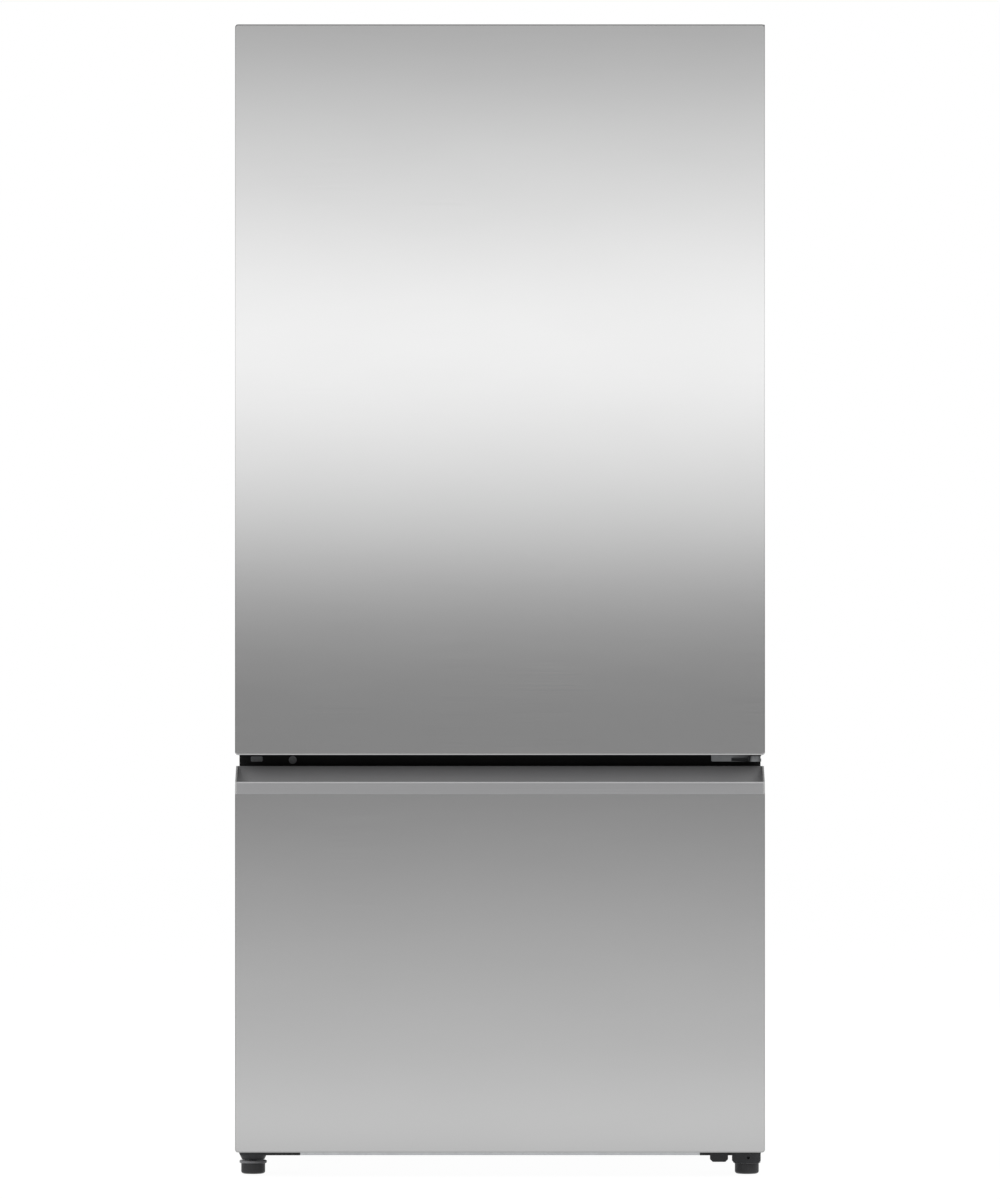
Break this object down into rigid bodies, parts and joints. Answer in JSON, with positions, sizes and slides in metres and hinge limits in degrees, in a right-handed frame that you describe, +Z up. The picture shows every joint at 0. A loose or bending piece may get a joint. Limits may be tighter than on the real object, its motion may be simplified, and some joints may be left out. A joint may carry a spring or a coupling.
{
  "type": "bottom freezer refrigerator",
  "caption": "Free-standing refrigerator with a hinged fridge door above and a pull-out freezer drawer below, glass shelves, crispers, door bins and levelling feet.",
  "frame": {"origin": "on the floor under the middle of the whole refrigerator", "axes": "+Z up, -Y out of the door's face, +X to the right of someone facing the door"},
  "size_m": [0.79, 0.695, 1.72],
  "materials": {
    "stainless_skin": "satin",
    "grip_metal": "satin",
    "cabinet_paint": "satin",
    "mullion_paint": "satin",
    "galvanised_sheet": "satin",
    "black_steel": "satin",
    "insulation_foam": "matte",
    "white_liner": "satin",
    "grey_cap": "satin",
    "gasket_rubber": "matte",
    "hinge_steel": "satin",
    "bush_plastic": "satin",
    "runner_zinc": "satin",
    "shelf_glass": "polished",
    "shelf_trim": "satin",
    "clear_bin": "gloss",
    "freezer_plastic": "satin",
    "lamp_lens": "satin",
    "slider_plastic": "satin",
    "roller_nylon": "satin",
    "foot_plastic": "satin",
    "coil_copper": "satin",
    "evaporator_aluminium": "satin",
    "fan_plastic": "satin"
  },
  "bodies": {
    "cabinet": {"cabinet_wrapper": "cabinet_paint", "rear_panel": "galvanised_sheet", "cabinet_foam": "insulation_foam", "fridge_liner": "white_liner", "freezer_liner": "white_liner", "mullion_rail": "mullion_paint", "base_frame": "galvanised_sheet", "roller_axles": "galvanised_sheet", "foot_brackets": "black_steel", "machine_cover": "galvanised_sheet", "cord_gland": "fan_plastic", "compressor": "black_steel", "condenser_coil": "coil_copper", "drip_tray": "fan_plastic", "condenser_fan_shroud": "fan_plastic", "evaporator": "evaporator_aluminium", "evaporator_cover": "white_liner", "evaporator_fan_motor": "fan_plastic", "air_duct_cover": "white_liner", "ceiling_light_lens": "lamp_lens", "control_panel": "white_liner", "shelf_frames": "shelf_trim", "glass_panels": "shelf_glass", "crisper_cover_frame": "shelf_trim", "top_hinge_bracket": "hinge_steel", "top_hinge_cover": "grey_cap", "middle_hinge_bracket": "hinge_steel", "runner_outer_members": "runner_zinc"},
    "fridge_door": {"door_skin": "stainless_skin", "door_top_cap": "grey_cap", "door_bottom_cap": "grey_cap", "door_foam": "insulation_foam", "door_liner": "white_liner", "door_gasket": "gasket_rubber", "door_hinge_bushes": "bush_plastic", "door_bin_lower": "clear_bin", "door_bin_middle": "clear_bin", "door_bin_upper": "clear_bin"},
    "freezer_drawer": {"drawer_skin": "stainless_skin", "drawer_grip": "grip_metal", "drawer_bottom_cap": "grey_cap", "drawer_foam": "insulation_foam", "drawer_liner": "white_liner", "drawer_gasket": "gasket_rubber", "runner_inner_members": "runner_zinc", "freezer_basket": "freezer_plastic"},
    "runner_middles": {"runner_middle_members": "runner_zinc"},
    "freezer_tray": {"freezer_tray": "freezer_plastic"},
    "crisper_left": {"crisper_left": "clear_bin"},
    "crisper_right": {"crisper_right": "clear_bin"},
    "humidity_slider_left": {"humidity_slider_left": "slider_plastic"},
    "humidity_slider_right": {"humidity_slider_right": "slider_plastic"},
    "fridge_temperature_button": {"fridge_temperature_button": "slider_plastic"},
    "freezer_temperature_button": {"freezer_temperature_button": "slider_plastic"},
    "foot_left": {"foot_left": "foot_plastic"},
    "foot_right": {"foot_right": "foot_plastic"},
    "rear_roller_left": {"rear_roller_left": "roller_nylon"},
    "rear_roller_right": {"rear_roller_right": "roller_nylon"},
    "condenser_fan": {"condenser_fan": "fan_plastic"},
    "evaporator_fan": {"evaporator_fan": "fan_plastic"}
  },
  "joints": [
    {"name": "fridge_door_hinge", "type": "hinge", "parent": "cabinet", "child": "fridge_door", "pos_m": [0.381, -0.314, 1.2], "axis": [0, 0, 1], "range_deg": [0, 120]},
    {"name": "freezer_drawer_slide", "type": "slide", "parent": "cabinet", "child": "freezer_drawer", "axis": [0, -1, 0], "range_m": [0, 0.42]},
    {"name": "runner_middle_slide", "type": "slide", "parent": "cabinet", "child": "runner_middles", "axis": [0, -1, 0], "range_m": [0, 0.21]},
    {"name": "freezer_tray_slide", "type": "slide", "parent": "freezer_drawer", "child": "freezer_tray", "axis": [0, 1, 0], "range_m": [0, 0.15]},
    {"name": "crisper_left_slide", "type": "slide", "parent": "cabinet", "child": "crisper_left", "axis": [0, -1, 0], "range_m": [0, 0.11]},
    {"name": "crisper_right_slide", "type": "slide", "parent": "cabinet", "child": "crisper_right", "axis": [0, -1, 0], "range_m": [0, 0.11]},
    {"name": "humidity_left_slide", "type": "slide", "parent": "crisper_left", "child": "humidity_slider_left", "axis": [1, 0, 0], "range_m": [0, 0.036]},
    {"name": "humidity_right_slide", "type": "slide", "parent": "crisper_right", "child": "humidity_slider_right", "axis": [1, 0, 0], "range_m": [0, 0.036]},
    {"name": "fridge_button_press", "type": "slide", "parent": "cabinet", "child": "fridge_temperature_button", "axis": [0, 0, 1], "range_m": [0, 0.001], "stiffness_N_per_m": 600, "springref_m": -0.001},
    {"name": "freezer_button_press", "type": "slide", "parent": "cabinet", "child": "freezer_temperature_button", "axis": [0, 0, 1], "range_m": [0, 0.001], "stiffness_N_per_m": 600, "springref_m": -0.001},
    {"name": "foot_left_screw", "type": "slide", "parent": "cabinet", "child": "foot_left", "axis": [0, 0, -1], "range_m": [0, 0.015]},
    {"name": "foot_right_screw", "type": "slide", "parent": "cabinet", "child": "foot_right", "axis": [0, 0, -1], "range_m": [0, 0.015]},
    {"name": "rear_roller_left_spin", "type": "hinge", "parent": "cabinet", "child": "rear_roller_left", "pos_m": [-0.35, 0.3, 0.017], "axis": [1, 0, 0], "continuous": true},
    {"name": "rear_roller_right_spin", "type": "hinge", "parent": "cabinet", "child": "rear_roller_right", "pos_m": [0.35, 0.3, 0.017], "axis": [1, 0, 0], "continuous": true},
    {"name": "condenser_fan_spin", "type": "hinge", "parent": "cabinet", "child": "condenser_fan", "pos_m": [-0.024, 0.2355, 0.14], "axis": [1, 0, 0], "continuous": true},
    {"name": "evaporator_fan_spin", "type": "hinge", "parent": "cabinet", "child": "evaporator_fan", "pos_m": [0, 0.2525, 0.53175], "axis": [0, 1, 0], "continuous": true}
  ],
  "couplings": [
    {"joint": "runner_middle_slide", "follows": "freezer_drawer_slide", "ratio": 0.5}
  ]
}
